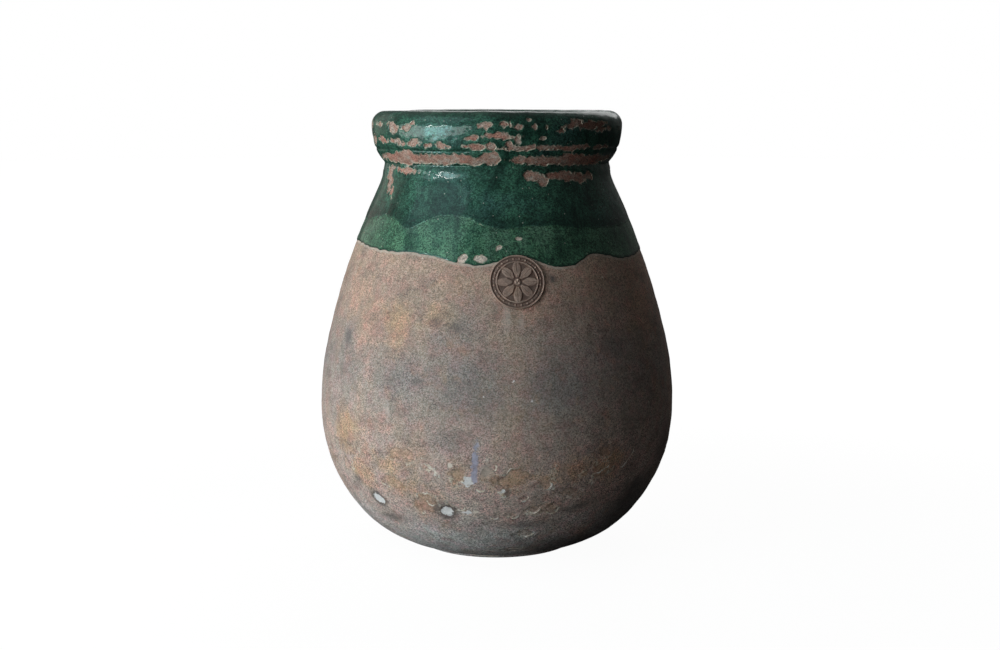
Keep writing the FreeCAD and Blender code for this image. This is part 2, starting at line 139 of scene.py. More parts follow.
def stepped(line, step):
    """The line with points at even steps of about the given length, both ends kept."""
    along = lengths(line)
    places = np.linspace(0, along[-1], max(2, round(along[-1] / step) + 1))
    return np.stack([np.interp(places, along, line[:, i]) for i in range(2)], axis=1)


def eased(share):
    """A share from 0 to 1 with a soft start and end."""
    return share * share * (3 - 2 * share)


def rise(value, low, high):
    """0 below low, 1 above high and a soft rise between them."""
    return eased(np.clip((value - low) / (high - low), 0, 1))


def outer_line(tree):
    """The clay's outer line (radius, height): under the foot, up the wall and over the lip to the mouth."""
    mouth = side_radius(tree, THROAT_HEIGHT + (LIP_HEIGHT - THROAT_HEIGHT) / 2, inside=True)
    foot_edge, lip_edge = 0.3 * MM, LIP_HEIGHT - 14 * MM
    foot = side_radius(tree, foot_edge)
    under = [(radius, 0) for radius in np.arange(foot - 30 * MM, foot - MM, 2 * MM)]
    side = [(side_radius(tree, height), height) for height in np.arange(foot_edge, lip_edge, 1.5 * MM)]
    inwards = np.arange(side[-1][0] - 0.4 * MM, mouth + 0.2 * MM, -LINE_STEP)
    lip = [(radius, top_height(tree, radius)) for radius in inwards]
    bore = [(mouth, height) for height in np.arange(lip[-1][1] - MM, THROAT_HEIGHT + 20 * MM, -2 * MM)]
    line = stepped(np.array(under + side + lip + bore), LINE_STEP)
    broad, fine = smoothed(line, 14), smoothed(line, 2)
    height = line[:, 1:]
    above_foot = rise(height, 15 * MM, 50 * MM)
    in_throat = rise(height, THROAT_HEIGHT - 16 * MM, THROAT_HEIGHT - 5 * MM)
    return fine + (broad - fine) * (above_foot * (1 - in_throat))


def inner_line(tree, heights, ground, step):
    """An inner line: down the wall at the given heights, then over the ground to the middle."""
    wall = [(side_radius(tree, height, inside=True), height) for height in heights]
    flat = [(radius, ground) for radius in np.arange(wall[-1][0] - 3 * MM, 4 * MM, -step)]
    return np.array(wall + flat)


CLAY_TREE = tree_of(BASE_NODES + MIDDLE_NODES + TOP_NODES)
OUTER = outer_line(CLAY_TREE)
OUTER_LENGTH = lengths(OUTER)
WALL_TOP = int(np.argmax(OUTER[:, 1]))
INNER = inner_line(CLAY_TREE, np.arange(THROAT_HEIGHT + 18 * MM, FLOOR_HEIGHT + 2 * MM, -4 * MM),
                   FLOOR_HEIGHT, 4 * MM)


def along_at(height):
    """Length along the outer line at a height of the wall."""
    rising = np.maximum.accumulate(OUTER[:WALL_TOP, 1])
    return np.interp(height, rising, OUTER_LENGTH[:WALL_TOP])


def on_outer(along):
    """Radius and height at lengths along the outer line."""
    return np.stack([np.interp(along, OUTER_LENGTH, OUTER[:, i]) for i in range(2)], axis=-1)


def outward(run):
    """Directions square to the runs of a line, outwards where it runs up."""
    run = run / np.hypot(run[..., 0], run[..., 1])[..., None]
    return np.stack([run[..., 1], -run[..., 0]], axis=-1)


def outline(start, end, step):
    """Rows of the outer line between two lengths along it: places, outward directions and lengths."""
    along = np.linspace(start, end, max(2, round((end - start) / step) + 1))[:, None]
    ways = outward(on_outer(along + 0.6 * MM) - on_outer(along - 0.6 * MM))
    return on_outer(along), ways, along


def turns_of(count):
    """Even turns round the jar, in one row."""
    return (np.arange(count) / count * tau)[None, :]


def hem_of(node):
    """Lowest height of a glaze node's edge at even turns, found with level rays."""
    tree = tree_of([node])
    heights = []
    for turn in turns_of(HEM_TURNS)[0]:
        way = Vector((sin(turn), -cos(turn), 0))
        low, high = BELLY_HEIGHT, NECK_HEIGHT + 20 * MM
        while high - low > 0.2 * MM:
            middle = (low + high) / 2
            hit = tree.ray_cast(way * OUTSIDE + Vector((0, 0, middle)), -way, OUTSIDE)[0]
            if hit is None:
                low = middle
            else:
                high = middle
        heights.append(high)
    return np.array(heights)


FIRST_HEM = hem_of("first_glaze")
SECOND_HEM = hem_of("second_glaze")


# Random fields that run unbroken round the jar

def grain(turn, along, size, seed):
    """Soft random values from -1 to 1 in lumps of about the given size in mm."""
    size = size * MM
    columns = max(3, round(tau * MEAN_RADIUS / size))
    across = (turn / tau) % 1 * columns
    up = along / size + 2
    column, row = np.floor(across).astype(int), np.floor(up).astype(int)
    table = np.random.default_rng(seed).uniform(-1, 1, (int(np.max(row)) + 3, columns))
    x, y = eased(across - column), eased(up - row)
    left, right = column % columns, (column + 1) % columns
    low = table[row, left] * (1 - x) + table[row, right] * x
    high = table[row + 1, left] * (1 - x) + table[row + 1, right] * x
    return low * (1 - y) + high * y


def layered(turn, along, *layers):
    """Layers of grain added up, each given as its strength, its size in mm and its seed."""
    return sum(grain(turn, along, size, seed) * strength for strength, size, seed in layers)


def dents(turn, along):
    """How far the hand-thrown wall stands off its true round, in metres."""
    rings = layered(turn * 0, along, (0.16, 11, 11), (0.22, 27, 12))
    hand = layered(turn, along, (0.5, 80, 13), (0.16, 26, 14))
    round_off = 0.35 * np.cos(2 * turn + 0.7) + 0.25 * np.cos(3 * turn + 2.1)
    return (rings + hand + round_off) * MM


def hem_along(hem, turn):
    """Length along the outline at which a coat ends, with the finer runs of a fired edge."""
    degrees = np.arange(HEM_TURNS) * (360 / HEM_TURNS)
    height = np.interp(np.degrees(turn) % 360, degrees, hem, period=360)
    edge = along_at(height)
    runs = grain(turn, edge * 0, 9, 31) * 0.9 * MM
    return edge + runs + grain(turn, edge * 0 + 0.4, 4, 32) * 0.35 * MM


# Patches, listed one by one: degrees right of the front, height, half width, half height in mm, tilt if any

def patch(turn, along, radius, spot, bulge, lift):
    """Rough distance in mm to a patch's edge, above 0 inside; a low bulge gives pointed ends,
    and lift moves the patch up by a share of its half height."""
    middle, height, half_width, half_height, tilt = (*spot, 0)[:5]
    offset = (turn - radians(middle) + pi) % tau - pi
    x = offset * radius / MM
    y = (along - along_at(height * MM)) / MM
    lean = radians(tilt)
    across = x * cos(lean) + y * sin(lean)
    up = y * cos(lean) - x * sin(lean) - lift * half_height
    reach = (np.abs(across / half_width) ** bulge + np.abs(up / half_height) ** bulge) ** (1 / bulge)
    return (1 - reach) * min(half_width, half_height)


def patches(turn, along, radius, spots, bulge=2.0, lift=0.0):
    """Distance to the edge of the nearest of several patches."""
    field = np.full(np.broadcast(turn, along).shape, NOWHERE)
    for spot in spots:
        field = np.maximum(field, patch(turn, along, radius, spot, bulge, lift))
    return field


def strip(turn, height, table):
    """Distance to the edge of a strip round the jar, given as (turn, lowest, highest height)."""
    turns, lows, highs = np.array(table, float).T
    degrees = np.degrees(turn)
    low = np.interp(degrees, turns, lows, period=360)
    high = np.interp(degrees, turns, highs, period=360)
    return np.minimum(height / MM - low, high - height / MM)


def scattered(count, low, high, widest, seed):
    """Small chips strewn round the jar between two heights, all sides but the front."""
    dice = np.random.default_rng(seed)
    spots = []
    for _ in range(count):
        half_width = widest * dice.uniform(0.2, 1) ** 1.6
        spots.append((dice.uniform(78, 285), dice.uniform(low, high), half_width,
                      half_width * dice.uniform(0.25, 0.6) + 0.6, dice.uniform(-16, 16)))
    return spots


def specks(count, low, high, size, seed):
    """Tiny bare specks between two heights, all sides but the front."""
    dice = np.random.default_rng(seed)
    return [(dice.uniform(70, 290), dice.uniform(low, high), size * dice.uniform(0.5, 1.4),
             size * dice.uniform(0.4, 1), dice.uniform(-40, 40)) for _ in range(count)]


# Breaks in the glaze
DARK_CHIPS = [
    (-52.5, 578.5, 11, 6.5, -18), (-43.8, 578.7, 15, 2.8, 10), (-39.2, 584.3, 6, 2.6, 8),
    (-65.5, 582, 7, 2.8), (-64, 562.4, 16, 3.6, -6), (-56.5, 561.4, 8, 2.6, 12), (-49, 560.6, 11, 3.6, -8),
    (-39.6, 559.6, 12, 3.4, 6), (-31.6, 557.2, 7, 2, 4), (-24.4, 557.4, 8.5, 3, -10),
    (-10.1, 567.2, 12.5, 3, 8), (-10, 556, 14, 3.8, -6), (-2.4, 554.8, 6.5, 5.6, 30),
    (2.6, 569, 19, 3.4, -4), (9.2, 563.4, 5, 5.4, -25), (5.6, 557.5, 4, 6.4, 8), (-4.6, 582.6, 12, 3.8, 5),
    (3.4, 584.4, 12, 3.4, -6), (9.9, 581, 6.4, 2.6), (13.9, 589.8, 4.2, 2.4), (16.7, 580.6, 4.2, 2),
    (21.8, 579.6, 2, 3), (20.1, 567.7, 3.2, 2.2), (35, 582, 13, 3.4, 8), (45, 580.5, 15, 4.2, -6),
    (54, 583, 11, 3, 10), (39, 588, 8, 2), (60, 578, 7, 3), (29, 575, 4, 2), (-64.7, 524.6, 12, 4.6, 6),
    (-50.3, 522, 21, 3.6, -4), (-66, 515, 9, 9, 24), (-62.5, 505, 6, 14, 24), (-58, 496, 3.6, 10, 30),
    (18.6, 517.5, 15, 5.5, -6), (22.5, 510.5, 9, 6, 15), (27, 517.5, 9, 5), (35.5, 516.5, 14, 6.5, 6),
    (44, 512.5, 13, 6.5, -10), (51, 516, 9, 5), (-6.8, 455.5, 2.6, 4.6, -20), (46, 582, 26, 5.4, 2),
    (54, 577, 15, 3.4, 4),
    *scattered(44, 555, 592, 19, 21), *scattered(14, 500, 527, 16, 22), *specks(30, 550, 592, 1.5, 23),
    *specks(16, 470, 525, 1, 24),
]
LIGHT_CHIPS = [
    (8.8, 439.4, 3.2, 2.6), (1.1, 428.7, 3, 2.4, 20), (-12.6, 416, 6.4, 5.4, 30), (-13.8, 408, 2.4, 4),
    (-5.8, 415.4, 7.4, 3.8, -8),
    *scattered(9, 404, 424, 8, 25), *specks(12, 414, 452, 1, 26),
]
BARE_ROLL = [
    (-180, 533, 546), (-160, 534, 544), (-145, 535, 541), (-138, 540, 536), (-126, 534, 545),
    (-112, 533, 547), (-98, 535, 543), (-90, 540, 536), (-76, 538, 537), (-68, 536, 543), (-60, 533.5, 545),
    (-50, 533, 547), (-44, 533, 551), (-40, 533, 545), (-32, 533, 543), (-27, 533, 546), (-20, 533, 545),
    (-14, 533, 544), (-9, 533, 543), (-6, 533, 547), (-1, 533.5, 549.5), (0.8, 536, 544), (2.2, 541, 537),
    (5, 539, 537.5), (10, 535, 543), (22, 532, 543.5), (42, 531.5, 543), (62, 532, 542), (73, 536, 538.5),
    (80, 541, 536), (96, 532, 546), (118, 531, 548), (136, 534, 543), (143, 540, 536), (158, 532, 545),
]
BARE_BAND_FOOT = [
    (-180, 560, 548), (-150, 552, 557), (-128, 552, 555), (-110, 558, 548), (-70, 560, 548), (-8, 560, 548),
    (0, 553.5, 553), (6, 552, 555.5), (14, 552, 556.5), (24, 552, 557), (32, 552.5, 555), (42, 552, 556),
    (60, 552.5, 555), (70, 556, 549), (105, 556, 549), (125, 552, 556), (150, 552, 555), (165, 557, 548),
]

# Stains and marks on the bare clay, with patches of painted shade low on the right and curls that are
# partly painted highlight
MARKS = {
    "ochre": [
        (-34.6, 333, 20, 30, 10), (-20, 345, 14, 10), (-55, 183, 26, 26), (-12.3, 146, 11, 12),
        (6.8, 139, 32, 12, 6), (-29.7, 120, 26, 14), (-36, 150, 24, 12, -10), (24, 146, 22, 12),
        (38, 150, 26, 16), (-48, 130, 20, 18), (90, 150, 50, 20, 5), (130, 138, 40, 18, -6),
        (175, 150, 60, 18, 4), (-140, 142, 46, 20), (-100, 152, 40, 22, -5), (110, 330, 40, 28),
        (-120, 340, 46, 30, 8), (170, 310, 40, 20),
    ],
    "salmon": [
        (-46.3, 335, 24, 32), (-58, 360, 22, 22), (-29.7, 167, 19, 9), (-24, 91, 18, 22), (34.8, 170, 8, 7),
        (-40, 205, 20, 10), (12, 352, 30, 12), (60, 340, 30, 34), (150, 350, 40, 30), (-160, 345, 40, 30),
        (-95, 330, 40, 34), (-170, 170, 30, 12), (80, 170, 26, 12), (-110, 180, 26, 14),
    ],
    "grey": [
        (-58, 307, 14, 14), (-10, 328, 17, 20), (-18.4, 321, 14, 13), (-9.5, 255, 46, 34),
        # the grey patches at 52 and 32 degrees, low on the right, are painted shade; the others are grey
        # stains
        (-14, 185, 24, 14), (-10, 358, 14, 10), (20, 250, 40, 26), (52, 70, 60, 44), (32, 30, 50, 24),
        (-30, 262, 26, 22, 10), (100, 250, 60, 34), (160, 262, 50, 26), (-140, 250, 60, 36),
        (-85, 270, 36, 24), (90, 45, 90, 18), (180, 48, 90, 18), (-110, 46, 80, 18), (40, 300, 30, 16),
    ],
    "wash": [
        (3.5, 344, 5, 17), (-35, 225, 4, 12, 8), (-3.2, 151, 8, 9, -22), (8, 338, 4, 10), (150, 330, 6, 20),
        (-130, 300, 5, 18, 4),
    ],
    "pale": [
        (-19.8, 150.4, 11, 2.6, -38), (1.9, 122.8, 3, 4.2), (-6.8, 93, 4, 2.8), (-26.4, 110, 2, 2),
        (-14.1, 158, 4, 4), (120, 140, 14, 2.8, 20), (170, 130, 16, 3.2, -14), (-125, 135, 15, 3, 18),
        (-80, 140, 10, 2.8, -10), (75, 96, 7, 3.8, 8), (-5, 4, 24, 3.8), (-26, 246, 0.9, 0.9),
        (-23, 231, 0.9, 0.9),
    ],
    "dark": [
        (-58, 307, 8, 9), (-13, 331, 7, 5), (-20, 338, 6, 5), (-24, 262, 6, 3), (20.3, 389.7, 2.6, 2.4),
        # the dark patch at 52 degrees and 110 mm, low on the right, is painted shade; the others are dark
        # spots
        (-40, 70, 22, 6, 8), (10, 72, 26, 5, -4), (30, 96, 20, 6, 10), (52, 110, 26, 8), (-52, 118, 7, 4),
        (100, 100, 30, 7, 4), (140, 80, 30, 6), (-150, 84, 16, 9), (-110, 96, 26, 7, -6), (175, 320, 12, 8),
        (120, 345, 9, 6),
    ],
    "halo": [
        (-44.4, 96.5, 16, 12.5, -35), (-17.2, 92, 17, 15.5), (2.4, 122, 6, 5), (20.3, 389.7, 3.6, 3),
        (150, 96, 11, 8), (-150, 110, 11, 8),
    ],
    "blue": [
        (-6.4, 160, 4.2, 26, -2), (-6.9, 143, 4.4, 9, 6), (160, 150, 3.4, 20, 4),
    ],
    "white": [
        (-44.1, 96, 9.4, 6.2, -35), (-16.8, 92, 7.4, 8), (-8.9, 137, 6, 7, 10), (-9.8, 92.4, 4.4, 2.6),
        (1.9, 122.8, 3, 2.6), (5, 266, 1.5, 1.3), (-4, 247, 1.3, 1.3), (11, 242, 1.3, 1.3), (150, 96, 7, 5),
        (-150, 110, 7, 5), (-95, 100, 6, 4), (95, 118, 5, 4),
    ],
    # where the flakes' curled lips are painted pale, partly as painted highlight
    "curl": [
        (-19.8, 149, 12, 5, -38), (-12, 136, 12, 4, -20), (-8, 141, 8, 8), (3, 150, 12, 5, 8),
        (17.5, 131, 5, 8), (9, 108, 5, 4, 30), (34.7, 139, 15, 4, 12), (18.6, 94, 9, 4, 25),
        (12.5, 92, 9, 4, 10), (5.5, 86, 5, 3, -20), (1.9, 120, 6, 5), (-24, 112, 10, 5, 10),
        (-28, 86, 12, 4, 12), (-40, 121, 12, 4, -10), (10, 55, 10, 4, 12), (7.5, 24, 10, 4, 10),
        (30.9, 127, 5, 4),
    ],
    "rust": [
        (46, 582, 30, 9), (30, 578, 12, 6), (60, 556, 24, 5), (120, 580, 34, 9), (-110, 578, 30, 8),
        (170, 570, 30, 8),
    ],
    # Painted shade: dark patches low on the right, on the side away from the lamps; the two round the back
    # are dark stains
    "shade_and_soot": [
        (62, 76, 62, 56), (40, 30, 66, 26), (70, 150, 30, 40), (150, 40, 70, 22), (-140, 36, 60, 20),
    ],
    # crests: pale curved lines on curled lips, partly painted highlight
    "crest": [
        (16.1, 129, 6, 6, 65), (9.3, 112, 6, 3.6, 40), (12.6, 94, 6.5, 5.5, 5), (19.6, 92, 7, 6, 35),
        (6.2, 86, 6, 5, 30), (-0.6, 85, 5, 4.5), (11.8, 57, 9, 7, 5), (8.4, 32, 11, 7),
        (30.3, 129, 4.5, 5, 60), (33.8, 144, 15, 4, 18), (45, 152, 18, 4.4, 48), (-0.8, 156, 5, 5, 80),
        (-4.9, 126, 6, 4.4, -10), (-11.6, 98, 5, 4.6, 20), (-22, 103, 6, 5, -30), (85, 132, 14, 6, 5),
        (120, 120, 10, 6, 20), (150, 134, 16, 6, -8), (-170, 128, 12, 6, 10), (-135, 116, 12, 6, -15),
        (-100, 130, 14, 6, 8), (-78, 112, 8, 5), (70, 104, 8, 5, 15),
    ],
    "flake": [
        (-12.3, 146, 10, 11, 20), (6.8, 141, 29, 9, 5), (14.6, 131, 9, 6), (-3.2, 150, 7.5, 8.5, -10),
        (-20, 151, 10, 5, -35), (-29.7, 167, 17, 6.5), (34.7, 143, 15, 5, 10), (30.9, 128, 4, 3),
        (34.8, 170, 7, 6), (-44.1, 96, 12, 8.5), (-16.8, 92, 8, 7.5), (12.5, 95, 8, 4, 10),
        (18.4, 98, 8, 5, 10), (2, 122.8, 4, 4), (9, 110.5, 5, 5), (5.5, 88, 5, 3.4, -20),
        (10, 58, 10, 5, 10), (7.5, 28, 11, 5, 8), (-57, 140, 8, 10), (-24, 100, 14, 16, 10),
        (-35, 126, 16, 6, -12), (-55, 160, 20, 10, 8), (24, 118, 12, 5, -10), (85, 140, 34, 10, 4),
        (112, 128, 18, 9, -10), (140, 142, 30, 8, 6), (165, 118, 14, 10), (-165, 138, 36, 9, -5),
        (-135, 124, 20, 10, 8), (-112, 140, 28, 9, -4), (-88, 118, 14, 10), (-70, 134, 18, 7, 10),
        (66, 118, 16, 8),
    ],
}


# Meshes

def spot_on(rows, ways, turn, offset):
    """Places on the jar for rows of the outline at the given turns, moved outwards by an offset."""
    radius = rows[..., 0] + ways[..., 0] * offset
    height = rows[..., 1] + ways[..., 1] * offset
    return np.stack(np.broadcast_arrays(radius * np.sin(turn), -radius * np.cos(turn), height), axis=-1)


def placed(name, data):
    """A new object in the scene."""
    made = bpy.data.objects.new(name, data)
    bpy.context.scene.collection.objects.link(made)
    return made


def add_piece(name, points, faces, nodes, fields, normals=None, smooth=None):
    """A mesh piece that stands for CAD nodes, with one number per point for each field; faces after
    the smooth ones are flat."""
    mesh = bpy.data.meshes.new(name)
    mesh.from_pydata(np.reshape(points, (-1, 3)).tolist(), [], faces)
    for field, values in fields.items():
        layer = mesh.attributes.new(field, "FLOAT", "POINT")
        layer.data.foreach_set("value", np.asarray(values, np.float32).ravel())
    mesh.shade_smooth()
    if smooth is not None:
        mesh.polygons.foreach_set("use_smooth", np.arange(len(faces)) < smooth)
    mesh.update()
    if normals is not None:
        mesh.normals_split_custom_set_from_vertices(np.reshape(normals, (-1, 3)).tolist())
    piece = placed(name, mesh)
    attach(piece, "root")
    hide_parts(*nodes)
    return piece


def ring_faces(first, second, turns):
    """Quads between two rows of points, given by the number of each row's first point."""
    here = np.arange(turns)
    there = (here + 1) % turns
    return np.stack([first + here, first + there, second + there, second + here], axis=1).tolist()


def grid_faces(count, turns):
    """Quads between all the rows of a grid that closes round the jar."""
    return [face for row in range(count - 1) for face in ring_faces(row * turns, (row + 1) * turns, turns)]


def row_face(row, turns):
    """One face that closes a row."""
    return list(range(row * turns, (row + 1) * turns))


def grid_normals(points):
    """Outward directions of a grid of points that closes round the jar."""
    along = np.gradient(points, axis=0)
    across = np.roll(points, -1, axis=1) - np.roll(points, 1, axis=1)
    normals = np.cross(across, along)
    return normals / np.maximum(np.linalg.norm(normals, axis=-1, keepdims=True), 1e-12)


def clay_fields(rows, turn, along):
    """Marks on the outside of the clay, each as the distance in mm inside its edge."""
    radius = rows[..., 0]
    fields = {name: patches(turn, along, radius, spots) for name, spots in MARKS.items()}
    fields["hollow"] = patches(turn, along, radius, MARKS["crest"], lift=0.5)
    fields["glazed"] = (along - hem_along(FIRST_HEM, turn)) / MM
    return fields


def clay_body():
    """The three clay pieces: the base, the belly with the shoulder, and the neck with the rim."""
    seams = [along_at(BELLY_HEIGHT), along_at(NECK_HEIGHT)]
    cuts = [OUTER_LENGTH[0], along_at(0.2 * MM), *seams, OUTER_LENGTH[-1]]
    parts = []
    for start, end, step in zip(cuts, cuts[1:], (UNDER_STEP, BODY_STEP, BODY_STEP, RIM_STEP)):
        parts.append([part[:-1] for part in outline(start, end, step)])
    rows, ways, along = (np.concatenate(part) for part in zip(*parts))
    turn = turns_of(BODY_TURNS)
    fields = clay_fields(rows, turn, along)
    inside_flake = fields["flake"] + layered(turn, along, (5, 13, 41), (2.6, 5, 42))
    flake = rise(inside_flake, -1.2, 1.2)
    curl = np.exp(-((inside_flake + 1.6) / 1.3) ** 2)
    rough = layered(turn, along, (0.1, 5, 51), (0.14, 12, 52))
    unglazed = 1 - rise(fields["glazed"], -4, 2)
    offset = dents(turn, along) + unglazed * (rough - 0.4 * flake + 0.4 * curl) * MM
    points = spot_on(rows, ways, turn, offset * rise(rows[..., 1], 0, 12 * MM))
    normals = grid_normals(points)
    belly, neck = np.searchsorted(along[:, 0], [seam - 0.1 * MM for seam in seams])
    height = INNER[:, 1]
    pieces = []
    for part, nodes, first, last, low, high in (
        ("base", BASE_NODES, 0, belly + 1, 0, BELLY_HEIGHT),
        ("middle", MIDDLE_NODES, belly, neck + 1, BELLY_HEIGHT, NECK_HEIGHT),
        ("top", TOP_NODES, neck, len(along), NECK_HEIGHT, LIP_HEIGHT),
    ):
        hidden = stepped(INNER[(height >= low - 2 * MM) & (height <= high + 2 * MM)], INSIDE_STEP)[:, None]
        back = spot_on(hidden, hidden * 0, turn, 0)
        unmarked = np.full(back.shape[:2], NOWHERE)
        shown = {name: np.concatenate([np.broadcast_to(values, points.shape[:2])[first:last], unmarked])
                 for name, values in fields.items()}
        shape = np.concatenate([points[first:last], back])
        shading = np.concatenate([normals[first:last], back * 0])
        count = len(shape)
        faces = grid_faces(count, BODY_TURNS)
        if part == "base":
            faces += [row_face(0, BODY_TURNS)[::-1], row_face(count - 1, BODY_TURNS)]
        else:
            faces += ring_faces((count - 1) * BODY_TURNS, 0, BODY_TURNS)
        pieces.append(add_piece("clay_" + part, shape, faces, nodes, shown, shading))
    return pieces


def clipped(name, lines, field, height, nodes, fields):
    """A coat of glaze over the outline's rows where the field is above 0, cut off along its edge,
    with walls down to the clay."""
    rows, ways, along = lines
    count, turns = field.shape
    turn = turns_of(turns)
    base = dents(turn, along)
    tops = spot_on(rows, ways, turn, base + height).reshape(-1, 3)
    floors = spot_on(rows, ways, turn, base - SEAT_DEPTH).reshape(-1, 3)
    depth = field.ravel()
    inside = depth > 0
    points, lows, sources, faces, walls = [], [], [], [], []
    number, cut, low_number = {}, {}, {}

    def corner(index):
        if index not in number:
            number[index] = len(points)
            points.append(tops[index])
            lows.append(floors[index])
            sources.append((index, index, 0.0))
        return number[index]

    def crossing(first, second):
        """Number of the point at which the coat's edge crosses a side of a cell."""
        key = (min(first, second), max(first, second))
        if key not in cut:
            a, b = key
            share = min(max(depth[a] / (depth[a] - depth[b]), 0.02), 0.98)
            cut[key] = len(points)
            points.append(tops[a] + (tops[b] - tops[a]) * share)
            lows.append(floors[a] + (floors[b] - floors[a]) * share)
            sources.append((a, b, share))
        return cut[key]

    def lowered(index):
        """Number of the point on the clay below a point of the edge."""
        if index not in low_number:
            low_number[index] = len(points) + len(low_number)
        return low_number[index]

    for row in range(count - 1):
        cells = np.array(ring_faces(row * turns, (row + 1) * turns, turns))
        filled = inside[cells].sum(axis=1)
        for cell in cells[filled == 4]:
            faces.append([corner(index) for index in cell])
        for cell in cells[(filled > 0) & (filled < 4)]:
            loop, borders = [], []
            for first, second in zip(cell, np.roll(cell, -1)):
                if inside[first]:
                    loop.append(corner(first))
                if inside[first] != inside[second]:
                    loop.append(crossing(first, second))
                    if inside[first]:
                        borders.append(len(loop) - 1)
            if len(loop) < 3:
                continue
            faces.append(loop)
            walls += [(loop[place], loop[(place + 1) % len(loop)]) for place in borders]
    smooth = len(faces)
    for first, second in walls:
        faces.append([second, first, lowered(first), lowered(second)])
    for row in (0, count - 1):
        for i in range(turns):
            first, second = row * turns + i, row * turns + (i + 1) % turns
            if inside[first] and inside[second]:
                first, second = number[first], number[second]
                ends = (first, second) if row else (second, first)
                faces.append([ends[0], lowered(ends[0]), lowered(ends[1]), ends[1]])
    first, second, share = (np.array(column) for column in zip(*sources))
    below = [lows[index] for index in low_number]
    shown = {}
    for key, values in fields.items():
        flat = np.broadcast_to(values, field.shape).ravel()
        mixed = flat[first] + (flat[second] - flat[first]) * share
        shown[key] = np.concatenate([mixed, mixed[list(low_number)]])
    return add_piece(name, np.array(points + below), faces, nodes, shown, smooth=smooth)


def glaze_edge(inside_mm, full, start):
    """Thickness of glaze by the distance from its edge, from a share of its full thickness."""
    return full * (start + (1 - start) * rise(inside_mm, 0, 1.4))


def light_coat():
    """The first, light green coat below the dark one."""
    low, high = along_at(FIRST_HEM.min() - HEM_MARGIN), along_at(SECOND_HEM.max() + UNDERLAP)
    lines = rows, _, along = outline(low, high, LIGHT_STEP)
    turn = turns_of(COAT_TURNS)
    hem = (along - hem_along(FIRST_HEM, turn)) / MM
    ragged = layered(turn, along, (1.7, 5, 61), (1.0, 2.4, 62))
    chip = patches(turn, along, rows[..., 0], LIGHT_CHIPS, 1.7) + ragged
    field = np.minimum(hem, -chip)
    bead = np.exp(-((hem - 4.0) / 3.2) ** 2) * (0.75 + 0.6 * grain(turn, along * 0 + 0.3, 16, 63))
    ripple = layered(turn, along, (0.05, 9, 64), (0.09, 24, 65)) * rise(field, 0, 4)
    height = glaze_edge(field, COAT, 0.4) + (np.clip(bead, 0, None) * 0.3 + ripple) * MM
    return clipped("light_coat", lines, field, height, ["first_glaze"],
                   {"chip": -chip, "hem": hem})


def dark_coat():
    """The second, dark green coat over the neck, the moulded rim and the lip."""
    low, top = along_at(SECOND_HEM.min() - HEM_MARGIN), OUTER_LENGTH[WALL_TOP]
    lines = rows, _, along = outline(low, top + LIP_REACH, DARK_STEP)
    turn = turns_of(COAT_TURNS)
    hem = (along - hem_along(SECOND_HEM, turn)) / MM
    end = (along[-1] - 3 * MM - along) / MM + grain(turn, along * 0 + 0.2, 18, 71) * 2
    ragged = layered(turn, along, (1.4, 11, 78), (1.8, 5, 72), (1.1, 2.4, 73))
    chip = patches(turn, along, rows[..., 0], DARK_CHIPS, 1.6)
    on_wall = along < top - 20 * MM
    for table in (BARE_ROLL, BARE_BAND_FOOT):
        worn = strip(turn, rows[..., 1], table) + grain(turn, along, 16, 74) * 1.6
        chip = np.maximum(chip, np.where(on_wall, worn, NOWHERE))
    chip = chip + ragged
    field = np.minimum(np.minimum(hem, end), -chip)
    build = COAT * (1.2 + 0.8 * rise(hem, 0, 9))
    ripple = layered(turn, along, (0.07, 9, 76), (0.16, 24, 77))
    below, spread = 8 * MM, 7 * MM
    pooled = np.exp(-((rows[..., 1] - THROAT_HEIGHT + below) / spread) ** 2)
    pooled = np.where(on_wall, pooled * (1.5 + 0.6 * grain(turn, along * 0 + 0.5, 15, 75)), 0)
    height = glaze_edge(np.minimum(-chip, end), build, 0.55)
    height = height + (ripple + pooled - 0.12) * rise(field, 0, 4) * MM
    return clipped("dark_coat", lines, field, height, ["second_glaze"],
                   {"chip": -chip, "hem": hem})


def lining():
    """The honey-coloured glaze inside, with the rings of the thrower's fingers."""
    tree = tree_of(["inner_glaze"])
    ground = tree.ray_cast(Vector((0, 0, BELLY_HEIGHT)), Vector((0, 0, -1)))[0].z
    heights = np.arange(LIP_HEIGHT - 3 * MM, ground + 1.5 * MM, -3 * MM)
    line = stepped(inner_line(tree, heights, ground, 5 * MM), LINING_STEP)
    down = lengths(line)[:, None]
    turn = turns_of(LINING_TURNS)
    wander = grain(turn, down, 120, 81) * 6 * MM
    rings = grain(turn * 0, down + wander, 17, 82) * 0.5 + grain(turn, down, 30, 83) * 0.3
    offset = np.clip(rings - 0.3, -1, 0.2) * MM * rise(down, 0, 0.08) * 0.6
    points = spot_on(line[:, None], outward(np.gradient(line, axis=0))[:, None], turn, offset)
    faces = [*grid_faces(len(line), LINING_TURNS), row_face(len(line) - 1, LINING_TURNS)]
    return add_piece("lining", points, faces, ["inner_glaze"],
                     {"down": np.broadcast_to(down, points.shape[:2])})


